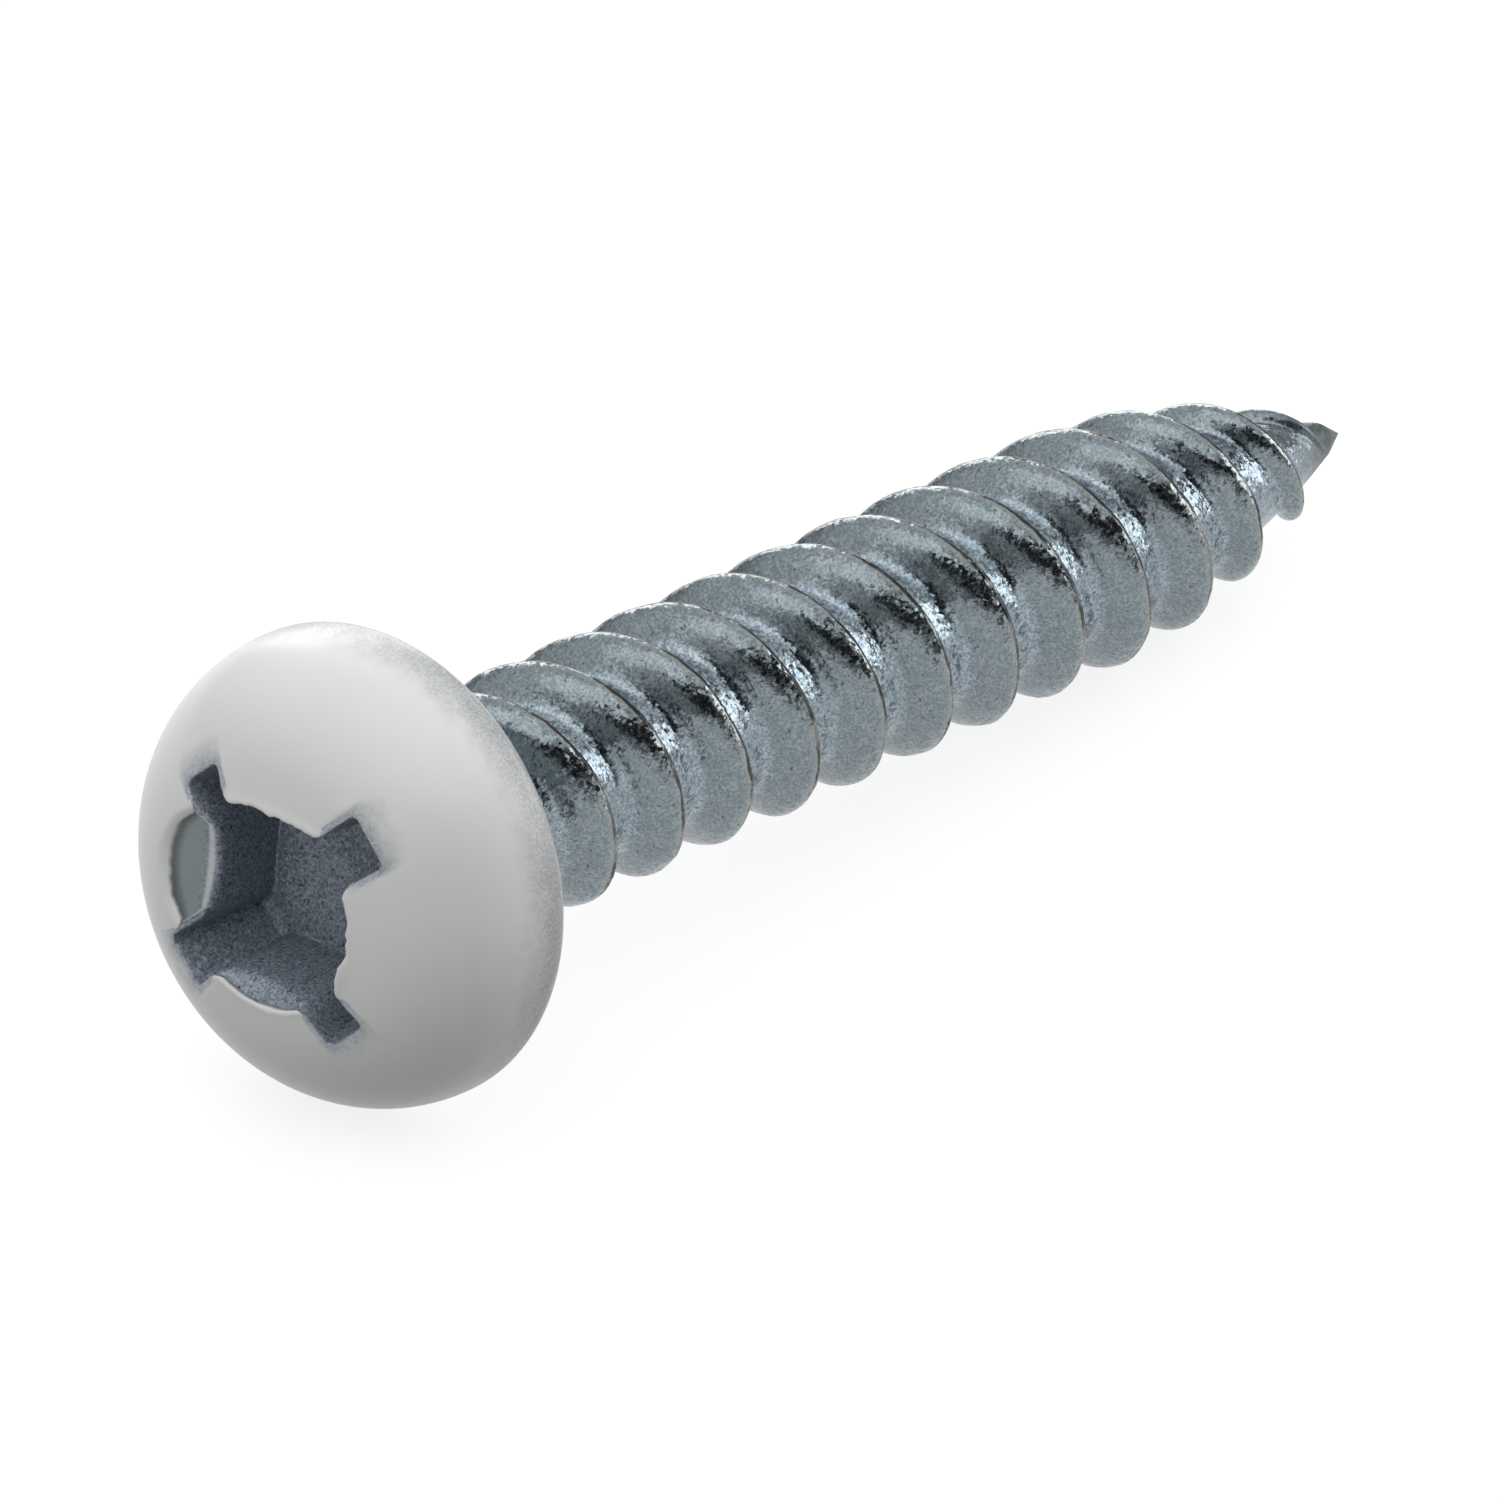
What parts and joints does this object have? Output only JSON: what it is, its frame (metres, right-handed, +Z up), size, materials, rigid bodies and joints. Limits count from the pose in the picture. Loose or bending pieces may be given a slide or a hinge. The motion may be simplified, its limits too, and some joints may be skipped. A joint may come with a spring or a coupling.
{
  "type": "pan head screw",
  "caption": "Pan head tapping screw with a combination drive recess, a two-start thread and a gimlet point, its head painted white, lying at rest on its side.",
  "frame": {"origin": "centre of the bounding box, at the level the screw lies on", "axes": "+X along the screw's length, from the head to the point; +Z up, with the screw lying on the head's rim and on a thread crest"},
  "size_m": [0.0284, 0.0082, 0.0082],
  "materials": {
    "steel": "bright zinc plate, with gloss white paint on the head's outside"
  },
  "bodies": {
    "root": {"screw": "steel"}
  },
  "joints": []
}
